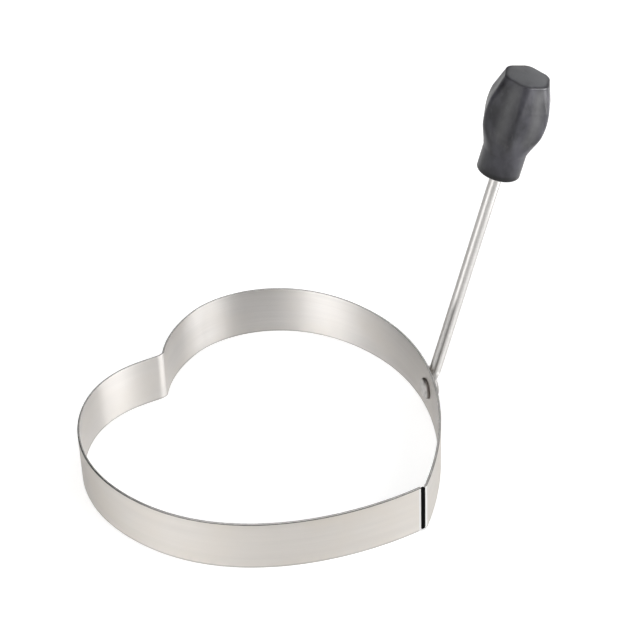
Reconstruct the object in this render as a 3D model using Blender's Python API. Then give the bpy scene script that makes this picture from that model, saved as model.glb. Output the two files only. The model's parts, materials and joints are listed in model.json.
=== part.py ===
"""Heart-shaped egg ring with a folding handle.

A strip of stainless steel stands on edge and is bent to a heart. A dark joint bead closes it
just beside the heart's point. A round rod, pressed flat to an eye at its foot, is riveted to
the right side of the heart and carries a moulded grip. Sizes are in metres, +Z is up, the
heart's point is towards -Y, and the ring stands on Z = 0.
"""

import math

import bmesh
import bpy
from mathutils import Matrix, Vector

# Heart outline, along the middle of the strip's thickness, with the point measured as if sharp
RING_WIDTH = 0.0965
POINT_TO_WIDEST = 0.05707
WIDEST_TO_TOP = 0.0365
LOBE_SPACING = 0.0364
CLEFT_DEPTH = 0.0051
CLEFT_FOLD_RADIUS = 0.0012
POINT_FOLD_RADIUS = 0.0005
POINT_SIDE_DEGREES = 20.5
CLEFT_SIDE_DEGREES = 33.0

# How far each span of the outline keeps its end's direction, as a share of the size it crosses
POINT_PULL_SHARE = 0.363
FLANK_PULL_SHARE = 0.531
SHOULDER_PULL_SHARE = 0.682
LOBE_TOP_PULL_SHARE = 0.406
DIP_TOP_PULL_SHARE = 0.373
DIP_FOLD_PULL_SHARE = 0.332
FLANK_STEPS = 28
LOBE_STEPS = 20
DIP_STEPS = 10
CLEFT_FOLD_STEPS = 3
POINT_FOLD_STEPS = 4

# Strip
STRIP_HEIGHT = 0.015
STRIP_THICKNESS = 0.0006
STRIP_EDGE_RADIUS = 0.0001
STRIP_EDGE_STEPS = 2

# Joint bead on the left of the heart's point, set a little outwards from the strip's middle
SEAM_FROM_POINT = 0.00105
SEAM_WIDTH = 0.0011
SEAM_DEPTH = 0.0009
SEAM_SET_OUT = 0.00005
SEAM_SET_DOWN = 0.0003
SEAM_GAP = 0.0001
SEAM_SECTION_POWER = 4.0
SEAM_SIDES = 20
SEAM_END_STEPS = 5

# Rivet
RIVET_FROM_POINT = 0.04725
RIVET_HEIGHT = 0.0075
SHANK_DIAMETER = 0.0030
INNER_HEAD_DIAMETER = 0.0058
INNER_HEAD_HEIGHT = 0.0011
OUTER_HEAD_DIAMETER = 0.0052
OUTER_HEAD_HEIGHT = 0.0009
HEAD_RIM_HEIGHT = 0.0002
HEAD_SEAT_GAP = 0.00015
HOLE_CLEARANCE = 0.00008
HEAD_STEPS = 6

# Handle rod, measured up from the rivet along the rod's inner side
ROD_DIAMETER = 0.0032
EYE_WIDTH = 0.0066
EYE_THICKNESS = 0.0012
EYE_GAP = 0.00012
RIVET_TO_RUNOUT = 0.0046
RUNOUT_LENGTH = 0.0020
LEAN_DEGREES = 15.35
RIVET_TO_GRIP = 0.0698
ROD_IN_GRIP = 0.0220
ROD_END_CHAMFER = 0.0004
GROOVE_PITCH = 0.0025
GROOVE_DEPTH = 0.00015
GROOVE_COUNT = 5
FLAT_SECTION_POWER = 6.0
ROUND_SECTION_POWER = 2.0
EYE_TIP_SHARE = 0.12
ROD_SIDES = 24
EYE_END_STEPS = 9
RUNOUT_STEPS = 8

# Grip: a flat is measured from the axis to one of the six sides, and one corner faces away from the ring
GRIP_LENGTH = 0.0283
COLLAR_DIAMETER = 0.0113
COLLAR_LENGTH = 0.0067
COLLAR_EDGE_RADIUS = 0.0005
COLLAR_TO_SHOULDER = 0.0070
SHOULDER_TO_TAPER = 0.0077
BARREL_FLAT = 0.0075
BARREL_CROWN = 0.00038
BARREL_CORNER_RADIUS = 0.0020
TOP_FLAT = 0.00575
TOP_CORNER_RADIUS = 0.0025
TOP_EDGE_RADIUS = 0.0006
TOP_DOME_HEIGHT = 0.0004
BORE_CLEARANCE = 0.00008
BORE_END_ROOM = 0.0003
GRIP_FLATS = 6
GRIP_SIDES = 60
EDGE_STEPS = 3
FLARE_STEPS = 6
BARREL_STEPS = 6
TAPER_STEPS = 4
DOME_STEPS = 3

# A cutter runs past what it cuts by the overrun, and points closer than the weld are joined
OVERRUN = 0.002
WELD = 0.000001
TURNED_SIDES = 32

STEEL_COLOUR = (0.66, 0.645, 0.625, 1.0)
RIVET_COLOUR = (0.60, 0.59, 0.57, 1.0)
BEAD_COLOUR = (0.006, 0.006, 0.006, 1.0)
GRIP_COLOUR = (0.055, 0.055, 0.06, 1.0)
METAL = 1.0
NOT_METAL = 0.0
STRIP_ROUGHNESS = 0.32
ROD_ROUGHNESS = 0.28
BEAD_ROUGHNESS = 0.55
GRIP_ROUGHNESS = 0.62
SMOOTH_DEGREES = 35.0

HALF_STRIP = STRIP_THICKNESS / 2
SHANK_RADIUS = SHANK_DIAMETER / 2
ROD_RADIUS = ROD_DIAMETER / 2
LEAN = math.radians(LEAN_DEGREES)
EYE_INNER_X = HALF_STRIP + EYE_GAP
EYE_OUTER_X = EYE_INNER_X + EYE_THICKNESS
ROD_TOP = RIVET_TO_GRIP + ROD_IN_GRIP
POINT_SIDE = math.radians(POINT_SIDE_DEGREES)
HALF_JOINT = SEAM_WIDTH / 2 + SEAM_GAP


def clear_scene():
    """Start from an empty scene."""
    for old in list(bpy.data.objects):
        bpy.data.objects.remove(old, do_unlink=True)


def material(name, colour, metallic, roughness):
    """A Principled surface of one colour."""
    made = bpy.data.materials.new(name)
    made.use_nodes = True
    shader = made.node_tree.nodes["Principled BSDF"]
    shader.inputs["Base Color"].default_value = colour
    shader.inputs["Metallic"].default_value = metallic
    shader.inputs["Roughness"].default_value = roughness
    made.diffuse_color = colour
    return made


def link(name, data, parent=None):
    """Put a mesh, or an empty where there is no mesh, into the scene."""
    made = bpy.data.objects.new(name, data)
    bpy.context.scene.collection.objects.link(made)
    made.parent = parent
    return made


def mesh_object(name, shape, parent, surface=None):
    """Weld the shape's points, turn its faces outwards and shade its round stretches smooth."""
    bmesh.ops.remove_doubles(shape, verts=shape.verts, dist=WELD)
    bmesh.ops.recalc_face_normals(shape, faces=shape.faces)
    mesh = bpy.data.meshes.new(name)
    shape.to_mesh(mesh)
    shape.free()
    mesh.shade_smooth()
    mesh.set_sharp_from_angle(angle=math.radians(SMOOTH_DEGREES))
    if surface:
        mesh.materials.append(surface)
    return link(name, mesh, parent)


def loft(name, rings, parent, surface):
    """Join a row of closed rings of equal count with faces, and cap both ends."""
    shape = bmesh.new()
    rows = [[shape.verts.new(point) for point in ring] for ring in rings]
    for low, high in zip(rows, rows[1:]):
        for here in range(len(low)):
            there = (here + 1) % len(low)
            shape.faces.new((low[here], low[there], high[there], high[here]))
    shape.faces.new(rows[0])
    shape.faces.new(rows[-1])
    return mesh_object(name, shape, parent, surface)


def round_cutter(name, radius, start, end, parent):
    """A round cutter from start to end in its parent's frame."""
    along = end - start
    turned = along.to_track_quat("Z", "Y").to_matrix().to_4x4()
    shape = bmesh.new()
    bmesh.ops.create_cone(
        shape,
        cap_ends=True,
        segments=TURNED_SIDES,
        radius1=radius,
        radius2=radius,
        depth=along.length,
        matrix=Matrix.Translation((start + end) / 2) @ turned,
    )
    made = mesh_object(name, shape, parent)
    made.hide_render = True
    made.display_type = "WIRE"
    return made


def cut(target, tool):
    """Take the tool's shape out of the target."""
    made = target.modifiers.new("cut_by_" + tool.name, "BOOLEAN")
    made.operation = "DIFFERENCE"
    made.solver = "EXACT"
    made.object = tool


def between(start, end, share):
    """The value at a share of the way from start to end."""
    return start + (end - start) * share


def eased(share):
    """A share that starts and ends level, so that what follows it has no kink at its ends."""
    return share * share * (3 - 2 * share)


def oval_ring(half_out, half_across, power, sides):
    """A superellipse: an ellipse at power 2, and closer to a rectangle at each higher power."""
    ring = []
    for side in range(sides):
        turn = 2 * math.pi * side / sides
        out = math.copysign(abs(math.cos(turn)) ** (2 / power), math.cos(turn))
        across = math.copysign(abs(math.sin(turn)) ** (2 / power), math.sin(turn))
        ring.append(Vector((half_out * out, half_across * across)))
    return ring


def cubic_span(start, start_pull, end_pull, end, steps):
    """Points of a cubic curve that leaves start towards start_pull and comes to end from end_pull."""
    points = []
    for step in range(steps + 1):
        t = step / steps
        s = 1 - t
        points.append(start * s**3 + start_pull * 3 * s * s * t + end_pull * 3 * s * t * t + end * t**3)
    return points


def off_point(distance, side=1):
    """A point on the straight foot of a flank, this far from the heart's sharp point."""
    along = Vector((side * math.cos(POINT_SIDE), math.sin(POINT_SIDE))) * distance
    return Vector((0, -POINT_TO_WIDEST)) + along


def fold_arc(radius, turn):
    """From the bottom of a fold to where the strip has turned this far round it."""
    return Vector((math.sin(turn), 1 - math.cos(turn))) * radius


def half_outline():
    """Right half of the heart, from the flank's straight foot to the bottom of the cleft.

    Three cubic spans (flank, lobe and dip) share their direction at the widest place and at the
    top of the lobe. An arc of the fold radius closes the dip on the heart's axis.
    """
    cleft_side = math.radians(CLEFT_SIDE_DEGREES)
    half_width = RING_WIDTH / 2 - HALF_STRIP
    half_lobe = LOBE_SPACING / 2
    cleft = Vector((0, WIDEST_TO_TOP - CLEFT_DEPTH))

    foot = off_point(SEAM_FROM_POINT + HALF_JOINT)
    widest = Vector((half_width, 0))
    top = Vector((half_lobe, WIDEST_TO_TOP))
    fold = cleft + fold_arc(CLEFT_FOLD_RADIUS, cleft_side)

    off_foot = off_point(POINT_PULL_SHARE * POINT_TO_WIDEST) - off_point(0)
    up_flank = Vector((0, FLANK_PULL_SHARE * POINT_TO_WIDEST))
    up_shoulder = Vector((0, SHOULDER_PULL_SHARE * WIDEST_TO_TOP))
    out_of_top = Vector((LOBE_TOP_PULL_SHARE * (half_width - half_lobe), 0))
    into_dip = Vector((DIP_TOP_PULL_SHARE * half_lobe, 0))
    off_fold = Vector((math.cos(cleft_side), math.sin(cleft_side))) * DIP_FOLD_PULL_SHARE * half_lobe

    points = cubic_span(foot, foot + off_foot, widest - up_flank, widest, FLANK_STEPS)
    points += cubic_span(widest, widest + up_shoulder, top + out_of_top, top, LOBE_STEPS)[1:]
    points += cubic_span(top, top - into_dip, fold + off_fold, fold, DIP_STEPS)[1:]
    for step in reversed(range(CLEFT_FOLD_STEPS)):
        points.append(cleft + fold_arc(CLEFT_FOLD_RADIUS, cleft_side * step / CLEFT_FOLD_STEPS))
    return points


def strip_outline():
    """The whole strip, from its short end beside the point, round the point and on to its long end."""
    right = half_outline()
    left = [Vector((-point.x, point.y)) for point in reversed(right[:-1])]
    fold_bottom = off_point(0) + Vector((0, POINT_FOLD_RADIUS / math.cos(POINT_SIDE) - POINT_FOLD_RADIUS))
    fold = []
    for step in range(-POINT_FOLD_STEPS, POINT_FOLD_STEPS + 1):
        fold.append(fold_bottom + fold_arc(POINT_FOLD_RADIUS, POINT_SIDE * step / POINT_FOLD_STEPS))
    return [off_point(SEAM_FROM_POINT - HALF_JOINT, -1)] + fold + right + left


def place_on_outline(points, distance):
    """The point at a distance along the outline, and the direction square out of the heart there."""
    walked = 0
    for start, end in zip(points, points[1:]):
        step = (end - start).length
        if walked + step >= distance:
            along = (end - start) / step
            return start + along * (distance - walked), Vector((along.y, -along.x))
        walked += step
    raise ValueError("RIVET_FROM_POINT is longer than half the strip")


def make_ring_band(parent, surface):
    """The strip: an upright ribbon along the outline, thickened evenly, with its edges eased."""
    shape = bmesh.new()
    foot = [shape.verts.new((point.x, point.y, 0)) for point in strip_outline()]
    chain = [shape.edges.new(pair) for pair in zip(foot, foot[1:])]
    raised = bmesh.ops.extrude_edge_only(shape, edges=chain)["geom"]
    upper = [item for item in raised if isinstance(item, bmesh.types.BMVert)]
    bmesh.ops.translate(shape, verts=upper, vec=(0, 0, STRIP_HEIGHT))
    band = mesh_object("ring_band", shape, parent, surface)

    thick = band.modifiers.new("strip_thickness", "SOLIDIFY")
    thick.thickness = STRIP_THICKNESS
    thick.offset = 0
    thick.use_even_offset = True
    rounded = band.modifiers.new("eased_edges", "BEVEL")
    rounded.width = STRIP_EDGE_RADIUS
    rounded.segments = STRIP_EDGE_STEPS
    rounded.limit_method = "ANGLE"
    rounded.angle_limit = math.radians(SMOOTH_DEGREES)
    return band


def make_tip_seam(parent, surface):
    """The joint bead: upright between the strip's ends, boxy in section and round at both ends.

    Its own X runs along the wall and its own -Y points out of the heart.
    """
    round_end = SEAM_WIDTH / 2
    turns = [math.pi / 2 * step / SEAM_END_STEPS for step in range(SEAM_END_STEPS)]
    lower = [(SEAM_SET_DOWN + round_end * (1 - math.sin(turn)), math.cos(turn)) for turn in reversed(turns)]
    upper = [(STRIP_HEIGHT - height, share) for height, share in reversed(lower)]
    rings = []
    for height, share in lower + upper:
        section = oval_ring(SEAM_WIDTH / 2 * share, SEAM_DEPTH / 2 * share, SEAM_SECTION_POWER, SEAM_SIDES)
        rings.append([Vector((point.x, point.y - SEAM_SET_OUT, height)) for point in section])
    bead = loft("tip_seam", rings, parent, surface)
    bead.location = off_point(SEAM_FROM_POINT, -1).to_3d()
    bead.rotation_euler = (0, 0, -POINT_SIDE)
    return bead


def dome_profile(seat_x, out, radius, height):
    """Points (distance along the axis, radius) of a low dome on a short rim, from seat to crown."""
    points = [(seat_x, radius)]
    for step in range(HEAD_STEPS + 1):
        turn = math.pi / 2 * step / HEAD_STEPS
        along = HEAD_RIM_HEIGHT + (height - HEAD_RIM_HEIGHT) * math.sin(turn)
        points.append((seat_x + out * along, radius * math.cos(turn) if step < HEAD_STEPS else 0))
    return points


def make_pivot_rivet(parent, surface):
    """The rivet, turned about its axis: inner dome, shank and formed outer head in one piece."""
    inner_seat = -HALF_STRIP - HEAD_SEAT_GAP
    outer_seat = EYE_OUTER_X + HEAD_SEAT_GAP
    inner = dome_profile(inner_seat, -1, INNER_HEAD_DIAMETER / 2, INNER_HEAD_HEIGHT)
    outer = dome_profile(outer_seat, 1, OUTER_HEAD_DIAMETER / 2, OUTER_HEAD_HEIGHT)
    shank = [(inner_seat, SHANK_RADIUS), (outer_seat, SHANK_RADIUS)]
    shape = bmesh.new()
    profile = [shape.verts.new((along, 0, radius)) for along, radius in inner[::-1] + shank + outer]
    edges = [shape.edges.new(pair) for pair in zip(profile, profile[1:])]
    bmesh.ops.spin(
        shape,
        geom=profile + edges,
        cent=(0, 0, 0),
        axis=(1, 0, 0),
        angle=2 * math.pi,
        steps=TURNED_SIDES,
    )
    return mesh_object("pivot_rivet", shape, parent, surface)


def rod_line(distance):
    """The rod's inner side at a distance up from the rivet: its X and Z, and how far it leans.

    It runs straight up beside the wall, bends evenly outwards along the run-out, and then leans.
    """
    bend_radius = RUNOUT_LENGTH / LEAN
    bent = min(max(distance - RIVET_TO_RUNOUT, 0), RUNOUT_LENGTH)
    lean = bent / bend_radius
    beyond = max(distance - RIVET_TO_RUNOUT - RUNOUT_LENGTH, 0)
    x = EYE_INNER_X + bend_radius * (1 - math.cos(lean)) + beyond * math.sin(lean)
    z = min(distance, RIVET_TO_RUNOUT) + bend_radius * math.sin(lean) + beyond * math.cos(lean)
    return x, z, lean


def rod_axis(distance, half_thickness=ROD_RADIUS):
    """The middle of the rod at a distance up from the rivet."""
    x, z, lean = rod_line(distance)
    return Vector((x + half_thickness * math.cos(lean), 0, z - half_thickness * math.sin(lean)))


def rod_ring(distance, half_thickness, half_width, power):
    """One ring of the rod, square to its line, with its inner side on that line."""
    lean = rod_line(distance)[2]
    outwards = Vector((math.cos(lean), 0, -math.sin(lean)))
    sideways = Vector((0, 1, 0))
    middle = rod_axis(distance, half_thickness)
    section = oval_ring(half_thickness, half_width, power, ROD_SIDES)
    return [middle + outwards * point.x + sideways * point.y for point in section]


def make_handle_rod(parent, surface, hole_tool):
    """The rod, drawn up from its eye: flat and round-ended, then running out to a full round rod.

    Inside the grip it has a row of ring grooves that the moulding locks into.
    """
    half_flat = EYE_THICKNESS / 2
    half_eye = EYE_WIDTH / 2
    first_turn = math.asin(EYE_TIP_SHARE)
    rings = []
    for step in range(EYE_END_STEPS + 1):
        turn = between(first_turn, math.pi / 2, step / EYE_END_STEPS)
        half_width = half_eye * math.sin(turn)
        rings.append(rod_ring(-half_eye * math.cos(turn), half_flat, half_width, FLAT_SECTION_POWER))
    for step in range(RUNOUT_STEPS + 1):
        share = step / RUNOUT_STEPS
        half_thickness = between(half_flat, ROD_RADIUS, eased(share))
        half_width = between(half_eye, ROD_RADIUS, eased(share))
        power = between(FLAT_SECTION_POWER, ROUND_SECTION_POWER, eased(share))
        rings.append(rod_ring(RIVET_TO_RUNOUT + RUNOUT_LENGTH * share, half_thickness, half_width, power))

    turned = []
    for groove in reversed(range(GROOVE_COUNT)):
        middle = ROD_TOP - GROOVE_PITCH * (groove + 1)
        turned.append((middle - GROOVE_PITCH / 4, ROD_RADIUS))
        turned.append((middle, ROD_RADIUS - GROOVE_DEPTH))
        turned.append((middle + GROOVE_PITCH / 4, ROD_RADIUS))
    turned.append((ROD_TOP - ROD_END_CHAMFER, ROD_RADIUS))
    turned.append((ROD_TOP, ROD_RADIUS - ROD_END_CHAMFER))
    for distance, radius in turned:
        centring = Vector((math.cos(LEAN), 0, -math.sin(LEAN))) * (ROD_RADIUS - radius)
        ring = rod_ring(distance, radius, radius, ROUND_SECTION_POWER)
        rings.append([point + centring for point in ring])
    rod = loft("handle_rod", rings, parent, surface)
    cut(rod, hole_tool)
    return rod


def grip_ring(height, flat, corner_radius):
    """One ring of the grip: six flats joined by round corners, and a circle at full corner radius.

    Each sixth is measured from a corner. Its arc is struck from a centre on the corner's line,
    and ends where it touches the flat.
    """
    sixth = 2 * math.pi / GRIP_FLATS
    to_centre = (flat - corner_radius) / math.cos(sixth / 2)
    arc_half = sixth / 2 - math.atan2((flat - corner_radius) * math.tan(sixth / 2), flat)
    ring = []
    for side in range(GRIP_SIDES):
        turn = 2 * math.pi * side / GRIP_SIDES
        off_corner = abs((turn + sixth / 2) % sixth - sixth / 2)
        if off_corner <= arc_half:
            sideways = to_centre * math.sin(off_corner)
            radius = to_centre * math.cos(off_corner) + math.sqrt(corner_radius**2 - sideways**2)
        else:
            radius = flat / math.cos(sixth / 2 - off_corner)
        ring.append(Vector((radius * math.cos(turn), radius * math.sin(turn), height)))
    return ring


def grip_stations():
    """Up the grip: each ring's height, the distance to its flats and its corner radius."""
    collar = COLLAR_DIAMETER / 2
    shoulder = COLLAR_LENGTH + COLLAR_TO_SHOULDER
    taper = shoulder + SHOULDER_TO_TAPER
    rim = GRIP_LENGTH - TOP_DOME_HEIGHT - TOP_EDGE_RADIUS
    stations = []
    for step in range(EDGE_STEPS + 1):
        turn = math.pi / 2 * step / EDGE_STEPS
        radius = collar - COLLAR_EDGE_RADIUS * (1 - math.sin(turn))
        stations.append((COLLAR_EDGE_RADIUS * (1 - math.cos(turn)), radius, radius))
    for step in range(FLARE_STEPS):
        share = step / FLARE_STEPS
        flat = between(collar, BARREL_FLAT, share)
        corner = between(flat, BARREL_CORNER_RADIUS, eased(share))
        stations.append((between(COLLAR_LENGTH, shoulder, share), flat, corner))
    for step in range(BARREL_STEPS):
        share = step / BARREL_STEPS
        flat = BARREL_FLAT + BARREL_CROWN * 4 * share * (1 - share)
        stations.append((between(shoulder, taper, share), flat, BARREL_CORNER_RADIUS))
    for step in range(TAPER_STEPS):
        share = step / TAPER_STEPS
        flat = between(BARREL_FLAT, TOP_FLAT, share)
        corner = between(BARREL_CORNER_RADIUS, TOP_CORNER_RADIUS, share)
        stations.append((between(taper, rim, share), flat, corner))
    for step in range(EDGE_STEPS):
        turn = math.pi / 2 * step / EDGE_STEPS
        inset = TOP_EDGE_RADIUS * (1 - math.cos(turn))
        height = rim + TOP_EDGE_RADIUS * math.sin(turn)
        stations.append((height, TOP_FLAT - inset, TOP_CORNER_RADIUS - inset))
    for step in reversed(range(1, DOME_STEPS + 1)):
        share = step / DOME_STEPS
        flat = (TOP_FLAT - TOP_EDGE_RADIUS) * share
        corner = (TOP_CORNER_RADIUS - TOP_EDGE_RADIUS) * share
        stations.append((GRIP_LENGTH - TOP_DOME_HEIGHT * share * share, flat, corner))
    return stations


def make_grip(parent, surface):
    """The grip: a round collar, a flare, a crowned six-sided barrel and a taper to a low-domed top.

    A blind bore takes the rod.
    """
    rings = [grip_ring(height, flat, corner_radius) for height, flat, corner_radius in grip_stations()]
    grip = loft("grip", rings, parent, surface)
    grip.location = rod_axis(RIVET_TO_GRIP)
    grip.rotation_euler = (0, LEAN, 0)
    bore_foot = Vector((0, 0, -OVERRUN))
    bore_top = Vector((0, 0, ROD_IN_GRIP + BORE_END_ROOM))
    cut(grip, round_cutter("grip_bore_cutter", ROD_RADIUS + BORE_CLEARANCE, bore_foot, bore_top, grip))
    return grip


def settle(root, parts):
    """Move the whole object so that the middle of its box, seen from above, is the origin."""
    bpy.context.view_layer.update()
    graph = bpy.context.evaluated_depsgraph_get()
    corners = []
    for part in parts:
        seen = part.evaluated_get(graph)
        corners += [seen.matrix_world @ vertex.co for vertex in seen.data.vertices]
    for axis in range(2):
        places = [corner[axis] for corner in corners]
        root.location[axis] = -(min(places) + max(places)) / 2


def main():
    clear_scene()
    strip_steel = material("strip_steel", STEEL_COLOUR, METAL, STRIP_ROUGHNESS)
    rod_steel = material("rod_steel", STEEL_COLOUR, METAL, ROD_ROUGHNESS)
    rivet_steel = material("rivet_steel", RIVET_COLOUR, METAL, ROD_ROUGHNESS)
    dark_bead = material("dark_bead", BEAD_COLOUR, NOT_METAL, BEAD_ROUGHNESS)
    charcoal_plastic = material("charcoal_plastic", GRIP_COLOUR, NOT_METAL, GRIP_ROUGHNESS)

    root = link("egg_ring", None)
    place, out = place_on_outline([off_point(0)] + half_outline(), RIVET_FROM_POINT)
    rivet_axis = link("rivet_axis", None, root)
    rivet_axis.location = (place.x, place.y, RIVET_HEIGHT)
    rivet_axis.rotation_euler = (0, 0, math.atan2(out.y, out.x))
    handle_pivot = link("handle_pivot", None, rivet_axis)

    rivet_hole = round_cutter(
        "rivet_hole_cutter",
        SHANK_RADIUS + HOLE_CLEARANCE,
        Vector((-HALF_STRIP - OVERRUN, 0, 0)),
        Vector((EYE_OUTER_X + OVERRUN, 0, 0)),
        rivet_axis,
    )
    band = make_ring_band(root, strip_steel)
    cut(band, rivet_hole)
    seam = make_tip_seam(root, dark_bead)
    rivet = make_pivot_rivet(rivet_axis, rivet_steel)
    rod = make_handle_rod(handle_pivot, rod_steel, rivet_hole)
    grip = make_grip(handle_pivot, charcoal_plastic)
    settle(root, [band, seam, rivet, rod, grip])


main()
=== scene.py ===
"""A heart-shaped egg ring with a folding handle, finished and set up for a studio picture.

The strip, its joint bead, the rivet, the handle rod and the grip are surfaces worked out with
numpy in metres, in the frame's own axes. The near-black bead fills the gap between the strip's
ends at the heart's point as painted shade. Each one stands where the frame has its plain solid and
moves with that solid's body. The heart's point is towards -Y and the ring stands on Z = 0.
"""

import json
import math

import bpy
import numpy as np
from mathutils import Matrix, Vector


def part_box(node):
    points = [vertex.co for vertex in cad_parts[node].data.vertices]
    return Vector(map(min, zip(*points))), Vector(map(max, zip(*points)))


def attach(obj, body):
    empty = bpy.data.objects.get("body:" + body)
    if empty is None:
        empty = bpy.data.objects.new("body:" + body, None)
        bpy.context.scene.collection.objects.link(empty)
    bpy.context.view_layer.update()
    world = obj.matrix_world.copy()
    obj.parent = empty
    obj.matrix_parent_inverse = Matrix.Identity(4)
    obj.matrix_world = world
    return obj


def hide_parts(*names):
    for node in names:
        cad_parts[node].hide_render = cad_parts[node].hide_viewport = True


bl_info = {
    "name": "Heart Egg Ring",
    "version": (1, 0, 0),
    "blender": (4, 5, 0),
    "location": "3D View > Sidebar > Egg Ring",
    "description": "Makes a heart-shaped egg ring with a folding handle, its finishes and a studio",
    "category": "Add Mesh",
}

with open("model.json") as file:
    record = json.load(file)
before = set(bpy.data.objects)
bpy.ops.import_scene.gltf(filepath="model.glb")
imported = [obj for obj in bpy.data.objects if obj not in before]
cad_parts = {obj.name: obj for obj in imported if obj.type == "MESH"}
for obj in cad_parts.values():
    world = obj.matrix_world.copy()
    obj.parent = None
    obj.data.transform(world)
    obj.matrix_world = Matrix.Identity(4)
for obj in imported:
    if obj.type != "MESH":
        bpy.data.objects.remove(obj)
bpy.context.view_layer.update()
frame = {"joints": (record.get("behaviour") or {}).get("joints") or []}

RING_LOW, RING_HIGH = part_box("ring_band")
SWING = frame["joints"][0]
RIVET_PLACE = np.array(SWING["pos_m"])
OUTWARDS = np.array(SWING["axis"])
UPWARDS = np.array((0.0, 0.0, 1.0))
SIDEWAYS = np.cross(UPWARDS, OUTWARDS)

# Heart outline along the middle of the strip, with the point measured as if sharp
POINT_TO_WIDEST = 0.05707
WIDEST_TO_TOP = 0.0365
LOBE_SPACING = 0.0364
CLEFT_DEPTH = 0.0051
POINT_FOLD_RADIUS = 0.0005
POINT_SIDE = math.radians(20.5)

# Each side of the cleft: the slope that runs down to it, and the radius of its half of the fold
RIGHT_OF_CLEFT = (math.radians(33.0), 0.0012)
LEFT_OF_CLEFT = (math.radians(26.0), 0.0042)

# How far each span of the outline keeps its end's direction, as a share of the size it crosses
POINT_PULL_SHARE = 0.363
FLANK_PULL_SHARE = 0.531
SHOULDER_PULL_SHARE = 0.682
LOBE_TOP_PULL_SHARE = 0.406
DIP_TOP_PULL_SHARE = 0.373
DIP_FOLD_PULL_SHARE = 0.332

# How finely the strip is divided, along its outline and round its section
FLANK_STEPS = 150
LOBE_STEPS = 110
DIP_STEPS = 50
FOLD_STEPS = 8
FACE_STEPS = 10
EDGE_STEPS = 5

# The strip's finishes: what lies off its two faces is cut, and the outer share of its top is rolled and
# painted near-black as shade
INNER_FACE, OUTER_FACE, CUT_EDGE, ROLLED_EDGE = range(4)
FACE_MARGIN_SHARE = 0.02
ROLLED_SHARE = 0.42

# Joint bead: near-black, as painted shade in the gap between the strip's ends
BEAD_FROM_POINT = 0.00105
BEAD_SET_OUT = 0.00005
BEAD_SET_DOWN = 0.0003
BEAD_GAP = 0.0001
BEAD_SECTION_POWER = 4.0
BEAD_SIDES = 64
BEAD_END_STEPS = 14
BEAD_STEPS = 40

# Rivet
SHANK_RADIUS = 0.0015
HEAD_RIM_HEIGHT = 0.0002
HEAD_SEAT_GAP = 0.00015
HOLE_CLEARANCE = 0.00008
HEAD_STEPS = 24
HEAD_POWER = 2.8
TURNED_SIDES = 96

# Handle rod, measured up from the rivet along its inner side
EYE_WIDTH = 0.0066
EYE_THICKNESS = 0.0012
EYE_GAP = 0.00012
RIVET_TO_RUNOUT = 0.0046
RUNOUT_LENGTH = 0.0020
ROD_IN_GRIP = 0.0220
ROD_END_CHAMFER = 0.0004
GROOVE_PITCH = 0.0025
GROOVE_DEPTH = 0.00015
GROOVE_COUNT = 5
GROOVE_HALF_SHARE = 0.25
FLAT_SECTION_POWER = 6.0
ROUND_SECTION_POWER = 2.0
EYE_TIP_SHARE = 0.04
ROD_SIDES = 64
EYE_END_STEPS = 24
EYE_STEPS = 12
RUNOUT_STEPS = 24
ROD_STEPS = 60
GROOVE_STEPS = 12

# Grip, measured up from its foot; a flat is measured from its axis to one of the six sides
COLLAR_LENGTH = 0.0067
COLLAR_EDGE_RADIUS = 0.0005
COLLAR_TO_SHOULDER = 0.0070
SHOULDER_TO_TAPER = 0.0077
BARREL_CROWN = 0.00038
BARREL_CORNER_RADIUS = 0.0017
TOP_FLAT = 0.00575
TOP_CORNER_RADIUS = 0.0030
TOP_EDGE_RADIUS = 0.0006
TOP_DOME_HEIGHT = 0.0004
BORE_CLEARANCE = 0.00008
BORE_END_ROOM = 0.0003
GRIP_FLATS = 6
GRIP_SIDES = 240
GRIP_STEPS = 24
GRIP_EDGE_STEPS = 6
BORE_ROWS = 3

# How far a cutter runs past what it cuts, and the sharpest edge that is shaded smooth
OVERRUN = 0.001
SMOOTH_ANGLE = math.radians(35.0)

# Camera, from where the photograph was taken: at azimuth 0 it looks from the side of -Y
CAMERA_AIM = Vector((0.016625, 0.006656, 0.026664))
CAMERA_AZIMUTH = math.radians(-50.502)
CAMERA_ELEVATION = math.radians(38.746)
CAMERA_ROLL = math.radians(-2.206)
CAMERA_DISTANCE = 0.6424
CAMERA_LENS = 135.28


def setting(name, description, default, **kind):
    """A number that a user can set, with its unit or subtype where one fits."""
    return bpy.props.FloatProperty(name=name, description=description, default=default, **kind)


def length_setting(name, description, default):
    """A length that a user can set."""
    return setting(name, description, default, unit="LENGTH")


def colour_setting(name, description, default):
    """A colour that a user can set."""
    kind = {"subtype": "COLOR", "size": 3}
    return bpy.props.FloatVectorProperty(name=name, description=description, default=default, **kind)


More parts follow.
